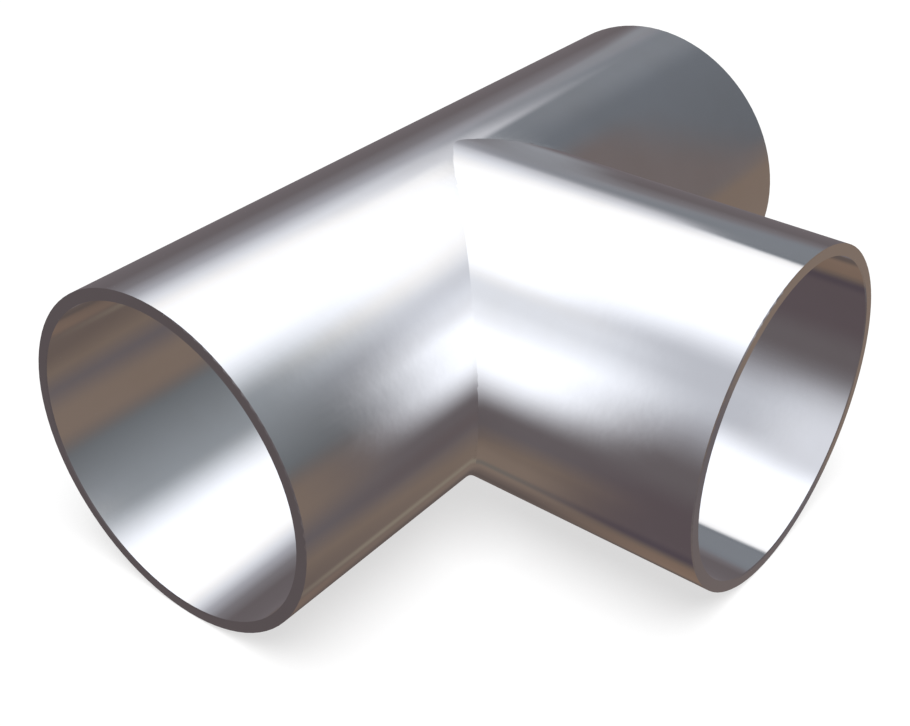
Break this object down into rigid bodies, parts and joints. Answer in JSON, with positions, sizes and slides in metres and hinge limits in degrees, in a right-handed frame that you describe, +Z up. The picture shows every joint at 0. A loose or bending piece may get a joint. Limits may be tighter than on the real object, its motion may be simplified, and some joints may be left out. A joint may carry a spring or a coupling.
{
  "type": "pipe tee",
  "caption": "Polished thin-wall stainless steel equal pipe tee with three plain square-cut ends for butt welding.",
  "frame": {"origin": "where the axes of the run and the branch cross", "axes": "+X along the run, -Y out through the branch, +Z up with the fitting lying flat"},
  "size_m": [0.1126, 0.0805, 0.0482],
  "materials": {
    "stainless": "polished stainless steel, near mirror, with faint drawn grain along the barrels"
  },
  "bodies": {
    "root": {"tee_body": "stainless"}
  },
  "joints": []
}
